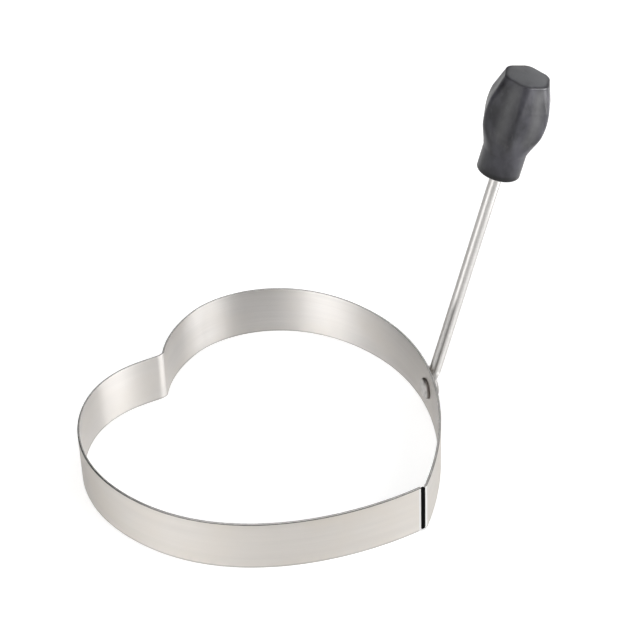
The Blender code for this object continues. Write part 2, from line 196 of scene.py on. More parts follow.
class EggRingSizes(bpy.types.PropertyGroup):
    """Sizes of the ring and its handle."""

    strip_thickness: length_setting("Strip thickness", "Thickness of the steel strip", 0.0006)
    inner_edge: length_setting(
        "Inner edge radius", "Radius of the strip's crisp edges, inside the ring", 0.00006
    )
    outer_edge: length_setting(
        "Outer edge radius", "Radius of the strip's rolled edges, outside the ring", 0.00026
    )
    bead_width: length_setting("Bead width", "Width of the joint bead along the wall", 0.0011)
    bead_depth: length_setting("Bead depth", "Depth of the joint bead through the wall", 0.0009)
    inner_head: length_setting(
        "Inner head diameter", "Diameter of the rivet's head inside the ring", 0.0058
    )
    inner_head_height: length_setting(
        "Inner head height", "Height of the rivet's head inside the ring", 0.0011
    )
    outer_head: length_setting(
        "Outer head diameter", "Diameter of the rivet's formed head on the eye", 0.0052
    )
    outer_head_height: length_setting(
        "Outer head height", "Height of the rivet's formed head on the eye", 0.0009
    )
    rod_diameter: length_setting("Rod diameter", "Diameter of the handle's steel rod", 0.0032)
    rod_lean: setting(
        "Rod lean", "How far the rod leans out from upright", math.radians(15.35), unit="ROTATION"
    )
    rivet_to_grip: length_setting(
        "Rivet to grip", "Length of rod from the rivet to the foot of the grip", 0.0698
    )
    grip_length: length_setting("Grip length", "Length of the grip along the rod", 0.0283)
    collar_diameter: length_setting("Collar diameter", "Diameter of the grip's round collar", 0.0113)
    grip_twist: setting(
        "Grip twist", "Turn of the grip, from one corner outwards", math.radians(5.5), unit="ROTATION"
    )
    barrel_flat: length_setting(
        "Barrel flat", "Distance from the grip's axis to its sides, at the barrel's foot", 0.0075
    )


class EggRingFinishes(bpy.types.PropertyGroup):
    """Colours and gloss of the ring and its handle."""

    inner_steel: colour_setting(
        "Inner steel", "Colour of the strip's brushed inner face", (0.768, 0.745, 0.722)
    )
    inner_roughness: setting(
        "Inner roughness", "Roughness of the strip's inner face", 0.46, subtype="FACTOR"
    )
    outer_steel: colour_setting("Outer steel", "Colour of the strip's satin outer face", (0.745, 0.72, 0.69))
    outer_roughness: setting(
        "Outer roughness", "Roughness of the strip's outer face", 0.84, subtype="FACTOR"
    )
    cut_edge: colour_setting("Cut edge", "Colour of the strip's flat cut edges", (0.60, 0.59, 0.575))
    # Painted shade: the rolled top edge is near-black, standing in for the shade along it
    shaded_rolled_edge: colour_setting(
        "Rolled edge", "Colour of the strip's upper rolled edge, darkened by handling", (0.13, 0.128, 0.124)
    )
    # Painted highlight: paler steel on the strip's ends beside the bead, standing in for the light caught by
    # the bends there
    margin: colour_setting(
        "Ground margin", "Colour of the ground steel on both sides of the joint bead", (0.80, 0.795, 0.785)
    )
    highlight_width: length_setting(
        "Ground margin width", "Width of the ground steel on each side of the bead", 0.00055
    )
    rod: colour_setting("Rod", "Colour of the drawn steel rod", (0.70, 0.685, 0.665))
    rivet: colour_setting("Rivet", "Colour of the rivet", (0.45, 0.437, 0.424))
    # Painted shade: the dark ring on the rivet's inner head stands in for the shadow where the head meets
    # the wall
    rivet_rim_shade: colour_setting(
        "Rivet ring", "Colour of the dark ring on the rivet's inner head", (0.16, 0.145, 0.135)
    )
    # Painted shade: the bead's near-black colour stands in for the shadow in the gap between the strip's
    # ends
    bead: colour_setting("Bead", "Colour of the joint bead", (0.002, 0.002, 0.002))
    grip: colour_setting("Grip", "Colour of the moulded grip", (0.031, 0.0305, 0.036))
    # Painted light: the paler colour of the bands up the grip's flats; it also colours the grip's scuffs,
    # which are real wear
    grip_scuff_and_light: colour_setting(
        "Grip flats", "Colour of the grip's six flats where they are rubbed", (0.082, 0.082, 0.084)
    )
    # Painted light: the grip's top face is paler, as light from above falls on it
    grip_lit_top: colour_setting("Grip top", "Colour of the grip's rubbed top face", (0.073, 0.0745, 0.078))


class EggRingStudio(bpy.types.PropertyGroup):
    """Light on the ring."""

    left_window: setting("Left window", "Brightness of the soft light beyond the heart's left side", 2.2)
    right_window: setting("Right window", "Brightness of the soft light beyond the heart's point", 2.2)
    room: setting("Room", "Brightness of the studio's pale walls", 0.6)
    top_light: setting("Top light", "Power of the soft light overhead", 3.0, unit="POWER")
    grip_light: setting("Grip light", "Power of the narrow light on the grip", 62.0, unit="POWER")


def in_scene(name, data):
    """Put a mesh, a light or a camera into the scene."""
    made = bpy.data.objects.new(name, data)
    bpy.context.scene.collection.objects.link(made)
    return made


def bezier(start, start_pull, end_pull, end, steps):
    """Points of the cubic (1-t)^3 A + 3(1-t)^2 t B + 3(1-t) t^2 C + t^3 D, for t from 0 to 1."""
    t = np.linspace(0.0, 1.0, steps + 1)[:, None]
    s = 1.0 - t
    return s**3 * start + 3 * s**2 * t * start_pull + 3 * s * t**2 * end_pull + t**3 * end


def arc(centre, radius, start, end, steps):
    """Points at the given radius from a centre, from one angle to another."""
    turn = np.linspace(start, end, steps + 1)
    return np.array(centre) + radius * np.stack([np.cos(turn), np.sin(turn)], 1)


def eased(share):
    """A share that sets off and arrives slowly: 3 s^2 - 2 s^3."""
    return share * share * (3.0 - 2.0 * share)


def flank_foot(distance, side=1.0):
    """A point on the straight foot of a flank, this far from the heart's sharp point."""
    across = side * distance * math.cos(POINT_SIDE)
    return np.array((across, distance * math.sin(POINT_SIDE) - POINT_TO_WIDEST))


def half_joint(sizes):
    """Half the room between the strip's two ends: half the bead and the gap beside it."""
    return sizes.bead_width / 2 + BEAD_GAP


def heart_middle(sizes):
    """Where the middle of the heart's widest line lies in the frame."""
    middle_x = (RING_LOW.x + RING_HIGH.x) / 2
    return np.array((middle_x, RING_HIGH.y - WIDEST_TO_TOP - sizes.strip_thickness / 2))


def half_heart(sizes, slope, fold_radius):
    """Half the strip's middle line, from beside the point to the middle of the cleft's fold.

    A flank, a shoulder and a dip are cubics that share their directions where they meet, and an
    arc makes this half of the fold.
    """
    half_width = (RING_HIGH.x - RING_LOW.x - sizes.strip_thickness) / 2
    half_lobe = LOBE_SPACING / 2
    fold_middle = np.array((0.0, WIDEST_TO_TOP - CLEFT_DEPTH + fold_radius))
    fold = arc(fold_middle, fold_radius, slope - math.pi / 2, -math.pi / 2, FOLD_STEPS)

    foot = flank_foot(BEAD_FROM_POINT + half_joint(sizes))
    off_foot = flank_foot(POINT_PULL_SHARE * POINT_TO_WIDEST) - flank_foot(0.0)
    widest = np.array((half_width, 0.0))
    below_widest = widest - np.array((0.0, FLANK_PULL_SHARE * POINT_TO_WIDEST))
    above_widest = widest + np.array((0.0, SHOULDER_PULL_SHARE * WIDEST_TO_TOP))
    top = np.array((half_lobe, WIDEST_TO_TOP))
    out_of_top = top + np.array((LOBE_TOP_PULL_SHARE * (half_width - half_lobe), 0.0))
    into_dip = top - np.array((DIP_TOP_PULL_SHARE * half_lobe, 0.0))
    along_dip = np.array((math.cos(slope), math.sin(slope)))
    off_fold = fold[0] + along_dip * DIP_FOLD_PULL_SHARE * half_lobe

    return np.concatenate([
        bezier(foot, foot + off_foot, below_widest, widest, FLANK_STEPS),
        bezier(widest, above_widest, out_of_top, top, LOBE_STEPS)[1:],
        bezier(top, into_dip, off_fold, fold[0], DIP_STEPS)[1:],
        fold[1:],
    ])


def heart_path(sizes):
    """The strip's middle line, from its short end beside the point, round the point to its long end.

    An arc folds the strip at the point. The left half is a mirror image of the right but for the
    cleft, where its slope is gentler and its side of the fold is softer.
    """
    right = half_heart(sizes, *RIGHT_OF_CLEFT)
    left = half_heart(sizes, *LEFT_OF_CLEFT)[-2::-1] * (-1.0, 1.0)
    point_middle = flank_foot(0.0) + (0.0, POINT_FOLD_RADIUS / math.cos(POINT_SIDE))
    low = -math.pi / 2
    point = arc(point_middle, POINT_FOLD_RADIUS, low - POINT_SIDE, low + POINT_SIDE, 2 * FOLD_STEPS)
    short_end = flank_foot(BEAD_FROM_POINT - half_joint(sizes), -1.0)
    return np.concatenate([short_end[None], point, right, left]) + heart_middle(sizes)


def walked(points):
    """Distance along a row of points, from the first."""
    steps = np.linalg.norm(np.diff(points, axis=0), axis=1)
    return np.concatenate([[0.0], np.cumsum(steps)])


def superellipse(half_out, half_across, power, sides):
    """Rings of |x/a|^p + |y/b|^p = 1, one for each row of half sizes and powers."""
    turn = np.linspace(0.0, 2 * math.pi, sides, endpoint=False)
    shape = 2.0 / np.broadcast_to(power, np.shape(half_out))[:, None]
    out = np.sign(np.cos(turn)) * np.abs(np.cos(turn)) ** shape
    across = np.sign(np.sin(turn)) * np.abs(np.sin(turn)) ** shape
    return half_out[:, None] * out, half_across[:, None] * across


def skin(name, rings, along, around):
    """Join rows of rings into one closed piece, with a fan of triangles on each end.

    rings holds rows x places x 3 numbers, and each ring runs anticlockwise as seen from ahead.
    The UV map gives each corner its row's distance along and its place's distance around.
    """
    rows, places = rings.shape[:2]
    row, place = np.meshgrid(np.arange(rows - 1), np.arange(places), indexing="ij")
    quad_row = row[..., None] + np.array([0, 0, 1, 1])
    quad_place = place[..., None] + np.array([0, 1, 1, 0])
    quads = (quad_row * places + quad_place % places).reshape(-1)
    quad_uvs = np.stack([along[quad_row], around[quad_place]], -1).reshape(-1, 2)

    here = np.arange(places)
    there = (here + 1) % places
    first = np.stack([np.full(places, rows * places), there, here], 1)
    last_row = (rows - 1) * places
    last = np.stack([np.full(places, rows * places + 1), last_row + here, last_row + there], 1)
    fan_uvs = np.stack([
        np.repeat((along[0], along[-1]), 3 * places),
        np.concatenate([around[first[:, [0, 1, 2]] % places].ravel(), around[last % places].ravel()]),
    ], 1)

    points = np.concatenate([rings.reshape(-1, 3), rings[[0, -1]].mean(axis=1)])
    corners = np.concatenate([quads, first.ravel(), last.ravel()])
    sizes = np.concatenate([np.full(len(quads) // 4, 4), np.full(2 * places, 3)])
    mesh = bpy.data.meshes.new(name)
    mesh.vertices.add(len(points))
    mesh.vertices.foreach_set("co", points.astype(np.float32).ravel())
    mesh.loops.add(len(corners))
    mesh.loops.foreach_set("vertex_index", corners.astype(np.int32))
    mesh.polygons.add(len(sizes))
    mesh.polygons.foreach_set("loop_start", np.concatenate([[0], np.cumsum(sizes)[:-1]]).astype(np.int32))
    mesh.update(calc_edges=True)
    uvs = np.concatenate([quad_uvs, fan_uvs]).astype(np.float32)
    mesh.uv_layers.new(name="surface").data.foreach_set("uv", uvs.ravel())
    mesh.shade_smooth()
    mesh.set_sharp_from_angle(angle=SMOOTH_ANGLE)
    return in_scene(name, mesh)


def turned(name, place, forward, along, radius):
    """Turn a profile about an axis: a circle of each radius at each distance along it."""
    across = np.cross(UPWARDS, forward)
    across /= np.linalg.norm(across)
    over = np.cross(forward, across)
    turn = np.linspace(0.0, 2 * math.pi, TURNED_SIDES, endpoint=False)
    spokes = across * np.cos(turn)[:, None] + over * np.sin(turn)[:, None]
    rings = place + forward * along[:, None, None] + spokes * radius[:, None, None]
    profile = walked(np.stack([along, radius], 1))
    around = np.linspace(0.0, 2 * math.pi * radius.max(), TURNED_SIDES + 1)
    return skin(name, rings, profile, around)


def drill(piece, radius, start, end):
    """Take a round hole along the rivet's axis out of a piece, and keep its finished mesh."""
    along = np.array((start, end))
    cutter = turned("drill", RIVET_PLACE, OUTWARDS, along, np.full(2, radius))
    hole = piece.modifiers.new("rivet_hole", "BOOLEAN")
    hole.operation = "DIFFERENCE"
    hole.solver = "EXACT"
    hole.object = cutter
    drilled = bpy.data.meshes.new_from_object(piece.evaluated_get(bpy.context.evaluated_depsgraph_get()))
    piece.modifiers.remove(hole)
    piece.data = drilled
    drilled.set_sharp_from_angle(angle=SMOOTH_ANGLE)
    bpy.data.objects.remove(cutter)


def strip_section(sizes):
    """Across the strip: a rectangle with crisp inner edges and rolled outer ones, from its lower middle.

    Points are (inwards, up). The second result gives the finish of the surface after each point.
    """
    half = sizes.strip_thickness / 2
    height = RING_HIGH.z
    crisp, rolled = sizes.inner_edge, sizes.outer_edge
    quarter = math.pi / 2
    inner_face = np.linspace(crisp, height - crisp, FACE_STEPS + 1)[1:-1]
    outer_face = np.linspace(height - rolled, rolled, FACE_STEPS + 1)[1:-1]
    section = np.concatenate([
        [(0.0, 0.0)],
        arc((half - crisp, crisp), crisp, -quarter, 0.0, EDGE_STEPS),
        np.stack([np.full(len(inner_face), half), inner_face], 1),
        arc((half - crisp, height - crisp), crisp, 0.0, quarter, EDGE_STEPS),
        [(0.0, height)],
        arc((rolled - half, height - rolled), rolled, quarter, 2 * quarter, EDGE_STEPS),
        np.stack([np.full(len(outer_face), -half), outer_face], 1),
        arc((rolled - half, rolled), rolled, 2 * quarter, 3 * quarter, EDGE_STEPS),
    ])
    across = (section[:, 0] + np.roll(section[:, 0], -1)) / 2
    almost = half * (1.0 - FACE_MARGIN_SHARE)
    finish = np.where(across > almost, INNER_FACE, np.where(across < -almost, OUTER_FACE, CUT_EDGE))
    upper = section[:, 1] + np.roll(section[:, 1], -1) > height
    finish[(finish == CUT_EDGE) & upper & (across < rolled * ROLLED_SHARE - half)] = ROLLED_EDGE
    return section, finish


def strip_feet(sizes):
    """How far round the strip's section the lower ends of its inner and outer faces lie."""
    section, _ = strip_section(sizes)
    around = walked(section)
    return float(around[EDGE_STEPS + 1]), float(around[-EDGE_STEPS - 1])


def make_strip(sizes, materials):
    """The strip: its section, set square to the heart's path and carried along it."""
    path = heart_path(sizes)
    steps = np.diff(path, axis=0)
    steps /= np.linalg.norm(steps, axis=1)[:, None]
    ahead = np.concatenate([steps[:1], steps[1:] + steps[:-1], steps[-1:]])
    ahead /= np.linalg.norm(ahead, axis=1)[:, None]
    stretch = np.concatenate([[1.0], 1.0 / (ahead[1:-1] * steps[1:]).sum(axis=1), [1.0]])
    inwards = np.stack([-ahead[:, 1], ahead[:, 0]], 1) * stretch[:, None]

    section, finish = strip_section(sizes)
    rings = np.zeros((len(path), len(section), 3))
    rings[..., :2] = path[:, None] + inwards[:, None] * section[None, :, :1]
    rings[..., 2] = section[:, 1]
    piece = skin("strip", rings, walked(path), walked(np.concatenate([section, section[:1]])))
    for material in materials:
        piece.data.materials.append(material)
    ends = np.full(2 * len(section), CUT_EDGE)
    finishes = np.concatenate([np.tile(finish, len(path) - 1), ends]).astype(np.int32)
    piece.data.polygons.foreach_set("material_index", finishes)
    reach = sizes.strip_thickness / 2 + OVERRUN
    drill(piece, SHANK_RADIUS + HOLE_CLEARANCE, -reach, reach)
    return piece


def make_bead(sizes):
    """The near-black bead, painted shade in the gap at the point: a superellipse carried up the wall,
    shrinking on a quarter circle at each end.
    """
    half_width = sizes.bead_width / 2
    turn = np.linspace(0.0, math.pi / 2, BEAD_END_STEPS + 1)[1:-1]
    lower = BEAD_SET_DOWN + half_width * (1.0 - np.cos(turn))
    lower_share = np.sin(turn)
    top = RING_HIGH.z
    middle = np.linspace(BEAD_SET_DOWN + half_width, top - BEAD_SET_DOWN - half_width, BEAD_STEPS + 1)
    heights = np.concatenate([lower, middle, top - lower[::-1]])
    shares = np.concatenate([lower_share, np.ones(len(middle)), lower_share[::-1]])
    along_wall, through_wall = superellipse(
        half_width * shares, sizes.bead_depth / 2 * shares, BEAD_SECTION_POWER, BEAD_SIDES
    )
    wall = np.array((math.cos(POINT_SIDE), -math.sin(POINT_SIDE)))
    inwards = np.array((math.sin(POINT_SIDE), math.cos(POINT_SIDE)))
    foot = flank_foot(BEAD_FROM_POINT, -1.0) + heart_middle(sizes) - inwards * BEAD_SET_OUT
    rings = np.zeros((len(heights), BEAD_SIDES, 3))
    rings[..., :2] = foot + along_wall[..., None] * wall + through_wall[..., None] * inwards
    rings[..., 2] = heights[:, None]
    around = np.linspace(0.0, 2 * (sizes.bead_width + sizes.bead_depth), BEAD_SIDES + 1)
    return skin("gap_shade_piece", rings, heights, around)


def dome(seat, out, radius, height):
    """A low dome on a short rim: distances along the axis and radii, from its seat to its crown.

    The dome is a quarter of a superellipse, so that its side is steep and its crown nearly flat.
    """
    turn = np.linspace(0.0, math.pi / 2, HEAD_STEPS + 1)[:-1]
    shape = 2.0 / HEAD_POWER
    along = seat + out * (HEAD_RIM_HEIGHT + (height - HEAD_RIM_HEIGHT) * np.sin(turn) ** shape)
    return np.concatenate([[seat], along]), np.concatenate([[radius], radius * np.cos(turn) ** shape])


def rivet_profile(sizes):
    """Half the rivet's outline, from the inner head's crown to the outer one's, and its two seats."""
    half = sizes.strip_thickness / 2
    inner_seat = -half - HEAD_SEAT_GAP
    outer_seat = half + EYE_GAP + EYE_THICKNESS + HEAD_SEAT_GAP
    inner_along, inner_radius = dome(inner_seat, -1.0, sizes.inner_head / 2, sizes.inner_head_height)
    outer_along, outer_radius = dome(outer_seat, 1.0, sizes.outer_head / 2, sizes.outer_head_height)
    along = np.concatenate([inner_along[::-1], [inner_seat, outer_seat], outer_along])
    radius = np.concatenate([inner_radius[::-1], [SHANK_RADIUS, SHANK_RADIUS], outer_radius])
    return along, radius


def inner_rim(sizes):
    """How far along the rivet's profile the rim of its inner head lies."""
    along, radius = rivet_profile(sizes)
    return float(walked(np.stack([along, radius], 1))[HEAD_STEPS])


def make_rivet(sizes):
    """The rivet, turned about its axis: inner dome, shank and formed outer head."""
    along, radius = rivet_profile(sizes)
    return turned("rivet", RIVET_PLACE, OUTWARDS, along, radius)


def rod_line(distance, sizes):
    """The rod's inner side: how far out and how high each distance up from the rivet lies, and its lean.

    It runs up beside the wall, bends outwards at a steady rate along the run-out, and then leans.
    """
    bend_radius = RUNOUT_LENGTH / sizes.rod_lean
    lean = np.clip(distance - RIVET_TO_RUNOUT, 0.0, RUNOUT_LENGTH) / bend_radius
    beyond = np.clip(distance - RIVET_TO_RUNOUT - RUNOUT_LENGTH, 0.0, None)
    out = sizes.strip_thickness / 2 + EYE_GAP + bend_radius * (1.0 - np.cos(lean)) + beyond * np.sin(lean)
    height = np.minimum(distance, RIVET_TO_RUNOUT) + bend_radius * np.sin(lean) + beyond * np.cos(lean)
    return out, height, lean


def rod_rings(distance, offset, half_thickness, half_width, power, sizes):
    """Superellipses set square to the rod's line, each with its middle at an offset out from the line."""
    out, height, lean = rod_line(distance, sizes)
    square_out = OUTWARDS * np.cos(lean)[:, None] - UPWARDS * np.sin(lean)[:, None]
    middle = RIVET_PLACE + OUTWARDS * out[:, None] + UPWARDS * height[:, None] + square_out * offset[:, None]
    thick, wide = superellipse(half_thickness, half_width, power, ROD_SIDES)
    return middle[:, None] + square_out[:, None] * thick[..., None] + SIDEWAYS * wide[..., None]


def rod_grooves(rod_top):
    """Where the rod's grooved end starts, and distances up it with the depth of its ring grooves there.

    Each groove is a V half a pitch wide, and the first lies a pitch below the rod's top.
    """
    start = rod_top - GROOVE_PITCH * (GROOVE_COUNT + 0.5)
    distance = np.linspace(start, rod_top - ROD_END_CHAMFER, GROOVE_COUNT * GROOVE_STEPS + 1)[1:]
    pitches = (rod_top - distance) / GROOVE_PITCH
    off_groove = np.abs(pitches - np.round(pitches))
    depth = GROOVE_DEPTH * np.clip(1.0 - off_groove / GROOVE_HALF_SHARE, 0.0, None) * (pitches > 0.5)
    return start, distance, depth


def rod_stations(sizes):
    """Up the rod from its eye's lower end: each ring's distance, offset, half thickness, half width, power.

    The eye is flat, and its lower end follows a half circle. Along the run-out its section eases
    from flat to round.
    """
    half_flat = EYE_THICKNESS / 2
    half_eye = EYE_WIDTH / 2
    rod_radius = sizes.rod_diameter / 2
    rod_top = sizes.rivet_to_grip + ROD_IN_GRIP
    turn = np.linspace(math.asin(EYE_TIP_SHARE), math.pi / 2, EYE_END_STEPS + 1)[:-1]
    eye = np.linspace(0.0, RIVET_TO_RUNOUT, EYE_STEPS + 1)[:-1]
    share = np.linspace(0.0, 1.0, RUNOUT_STEPS + 1)
    easing = eased(share)
    thickening = half_flat + (rod_radius - half_flat) * easing
    narrowing = half_eye + (rod_radius - half_eye) * easing
    rounding = FLAT_SECTION_POWER + (ROUND_SECTION_POWER - FLAT_SECTION_POWER) * easing
    grooves_start, grooved, groove = rod_grooves(rod_top)
    plain = np.linspace(RIVET_TO_RUNOUT + RUNOUT_LENGTH, grooves_start, ROD_STEPS + 1)[1:]

    distance = np.concatenate([
        -half_eye * np.cos(turn), eye, RIVET_TO_RUNOUT + RUNOUT_LENGTH * share, plain, grooved, [rod_top]
    ])
    radii = np.concatenate([
        np.full(len(plain), rod_radius), rod_radius - groove, [rod_radius - ROD_END_CHAMFER]
    ])
    flat_rows = np.ones(len(turn) + len(eye))
    round_rows = np.ones(len(radii))
    offset = np.concatenate([flat_rows * half_flat, thickening, round_rows * rod_radius])
    half_thickness = np.concatenate([flat_rows * half_flat, thickening, radii])
    half_width = np.concatenate([half_eye * np.sin(turn), np.full(len(eye), half_eye), narrowing, radii])
    power = np.concatenate([flat_rows * FLAT_SECTION_POWER, rounding, round_rows * ROUND_SECTION_POWER])
    return distance, offset, half_thickness, half_width, power


def make_rod(sizes):
    """The rod: superellipses carried up its line from a pressed eye to a grooved end inside the grip."""
    stations = rod_stations(sizes)
    around = np.linspace(0.0, math.pi * sizes.rod_diameter, ROD_SIDES + 1)
    piece = skin("handle_rod_steel", rod_rings(*stations, sizes), stations[0], around)
    start = sizes.strip_thickness / 2 + EYE_GAP - OVERRUN
    drill(piece, SHANK_RADIUS + HOLE_CLEARANCE, start, start + EYE_THICKNESS + 2 * OVERRUN)
    return piece


def grip_radii(flat, corner_radius):
    """Distance from the grip's axis to its surface: six flats joined by round corners.

    Each sixth is measured from a corner. The corner is an arc about a centre on the corner's
    line, and it ends where it touches the flat.
    """
    sixth = 2 * math.pi / GRIP_FLATS
    turn = np.linspace(0.0, 2 * math.pi, GRIP_SIDES, endpoint=False)
    off_corner = np.abs((turn + sixth / 2) % sixth - sixth / 2)
    flat, corner_radius = flat[:, None], corner_radius[:, None]
    to_centre = (flat - corner_radius) / math.cos(sixth / 2)
    arc_half = sixth / 2 - np.arctan2((flat - corner_radius) * math.tan(sixth / 2), flat)
    sideways = to_centre * np.sin(off_corner)
    on_arc = to_centre * np.cos(off_corner) + np.sqrt(np.clip(corner_radius**2 - sideways**2, 0.0, None))
    on_flat = flat / np.cos(sixth / 2 - off_corner)
    return turn, np.where(off_corner <= arc_half, on_arc, on_flat)


def grip_stations(sizes):
    """Up the grip from inside its bore: each ring's height, the distance to its flats, its corner radius.

    The collar's lower edge and the top's edge are quarter circles. The flare and the taper run
    straight, the barrel between them is crowned by a parabola, and another domes the top.
    """
    collar = sizes.collar_diameter / 2
    bore = sizes.rod_diameter / 2 + BORE_CLEARANCE
    shoulder = COLLAR_LENGTH + COLLAR_TO_SHOULDER
    taper = shoulder + SHOULDER_TO_TAPER
    rim = sizes.grip_length - TOP_DOME_HEIGHT - TOP_EDGE_RADIUS
    quarter = np.linspace(0.0, math.pi / 2, GRIP_EDGE_STEPS + 1)
    share = np.linspace(0.0, 1.0, GRIP_STEPS + 1)[:-1]
    dome_share = np.linspace(1.0, 0.0, GRIP_STEPS + 1)[:-1]

    edge = collar - COLLAR_EDGE_RADIUS * (1.0 - np.sin(quarter))
    flare = collar + (sizes.barrel_flat - collar) * share
    crowned = sizes.barrel_flat + BARREL_CROWN * 4.0 * share * (1.0 - share)
    tapered = sizes.barrel_flat + (TOP_FLAT - sizes.barrel_flat) * share
    inset = TOP_EDGE_RADIUS * (1.0 - np.cos(quarter[:-1]))
    heights = np.concatenate([
        [ROD_IN_GRIP + BORE_END_ROOM, COLLAR_EDGE_RADIUS],
        [0.0],
        COLLAR_EDGE_RADIUS * (1.0 - np.cos(quarter)),
        COLLAR_LENGTH + COLLAR_TO_SHOULDER * share,
        shoulder + SHOULDER_TO_TAPER * share,
        taper + (rim - taper) * share,
        rim + TOP_EDGE_RADIUS * np.sin(quarter[:-1]),
        sizes.grip_length - TOP_DOME_HEIGHT * dome_share**2,
    ])
    flats = np.concatenate([
        [bore, bore], [bore], edge, flare, crowned, tapered,
        TOP_FLAT - inset, (TOP_FLAT - TOP_EDGE_RADIUS) * dome_share,
    ])
    corners = np.concatenate([
        [bore, bore], [bore], edge,
        flare + (BARREL_CORNER_RADIUS - flare) * eased(share),
        np.full(len(share), BARREL_CORNER_RADIUS),
        BARREL_CORNER_RADIUS + (TOP_CORNER_RADIUS - BARREL_CORNER_RADIUS) * share,
        TOP_CORNER_RADIUS - inset, (TOP_CORNER_RADIUS - TOP_EDGE_RADIUS) * dome_share,
    ])
    return heights, flats, corners


def grip_profile(sizes):
    """Distance along the grip's profile, from the end of its bore, for each of its rings."""
    heights, flats, _ = grip_stations(sizes)
    return walked(np.stack([heights, flats], 1))


def grip_landmarks(sizes):
    """How far along its profile the grip's foot, its collar's end, its shoulder and its top's edge lie."""
    profile = grip_profile(sizes)
    collar_end = BORE_ROWS + GRIP_EDGE_STEPS + 1
    return [float(profile[row]) for row in (BORE_ROWS, collar_end, collar_end + GRIP_STEPS, -GRIP_STEPS)]


def grip_girth(sizes):
    """The whole way round the grip, in the units of its UV map."""
    return 2 * math.pi * float(grip_stations(sizes)[1].max())


def make_grip(sizes):
    """The grip: rings of six rounded flats carried up the leaning rod, turned a little on it."""
    heights, flats, corners = grip_stations(sizes)
    turn, radii = grip_radii(flats, corners)
    out, height, _ = rod_line(np.array([sizes.rivet_to_grip]), sizes)
    square_out = OUTWARDS * math.cos(sizes.rod_lean) - UPWARDS * math.sin(sizes.rod_lean)
    upwards = OUTWARDS * math.sin(sizes.rod_lean) + UPWARDS * math.cos(sizes.rod_lean)
    foot = RIVET_PLACE + OUTWARDS * out + UPWARDS * height + square_out * sizes.rod_diameter / 2
    turn = turn + sizes.grip_twist
    spokes = square_out * np.cos(turn)[:, None] + SIDEWAYS * np.sin(turn)[:, None]
    rings = foot + upwards * heights[:, None, None] + spokes * radii[..., None]
    around = np.linspace(0.0, grip_girth(sizes), GRIP_SIDES + 1)
    return skin("grip_moulding", rings, grip_profile(sizes), around)


# The ends of a share that grows or falls
RISING = (0.0, 1.0)
FALLING = (1.0, 0.0)

# The part of a noise's range that is spread over a finish's own range
MOST_OF_NOISE = (0.3, 0.7)
MIDDLE_OF_NOISE = (0.35, 0.65)
STREAKS_OF_NOISE = (0.36, 0.64)
UPPER_NOISE = (0.4, 0.7)
PEAKS_OF_NOISE = (0.58, 0.76)

# How many layers a noise has, and how strongly its finer ones count
SOFT = 2.0
MEDIUM = 3.0
CRISP = 4.0
EVEN_BREAKING = 0.5
HARD_BREAKING = 0.6

# How a spread value runs where it sets off and arrives slowly
EASED_STEP = {"interpolation_type": "SMOOTHSTEP"}

# A Mix node's sockets by number, because its numbers and its colours have the same names
FIRST_NUMBER, SECOND_NUMBER = 2, 3
FIRST_COLOUR, SECOND_COLOUR = 6, 7
MIXED_COLOUR = 2


class Nodes:
    """A node tree in the making, with short ways to add and join nodes."""

    def __init__(self, tree):
        self.tree = tree

    def give(self, target, value):
        """Join an input to a socket, or set it to a plain value."""
        if isinstance(value, bpy.types.NodeSocket):
            self.tree.links.new(value, target)
        else:
            target.default_value = value

    def add(self, kind, values=(), **settings):
        """The outputs of a new node, with sockets or plain values on its inputs."""
        made = self.tree.nodes.new(kind)
        for name, value in settings.items():
            setattr(made, name, value)
        for socket, value in dict(values).items():
            self.give(made.inputs[socket], value)
        return made.outputs

    def math(self, operation, *values):
        """What an operation makes of values, each a socket or a number."""
        return self.add("ShaderNodeMath", enumerate(values), operation=operation)[0]

    def off(self, value, middle):
        """How far a value lies from a middle, to either side."""
        return self.math("ABSOLUTE", self.math("SUBTRACT", value, middle))

    def spread(self, value, between, to=RISING, **settings):
        """Map a value from one range to another, kept within it."""
        return self.add("ShaderNodeMapRange", enumerate((value, *between, *to)), **settings)[0]

    def uneven(self, cover, noise, strengths):
        """A cover that a noise makes weaker and stronger, from one strength to another."""
        return self.math("MULTIPLY", cover, self.spread(noise, MOST_OF_NOISE, strengths))

    def blend(self, share, first, second):
        """A number between two, each a socket or a number."""
        values = {"Factor": share, FIRST_NUMBER: first, SECOND_NUMBER: second}
        return self.add("ShaderNodeMix", values, data_type="FLOAT")[0]

    def split(self, coordinate):
        """The three parts of a coordinate."""
        return self.add("ShaderNodeSeparateXYZ", {0: coordinate})

    def place(self):
        """The object's own coordinates, in metres."""
        return self.add("ShaderNodeTexCoord")["Object"]


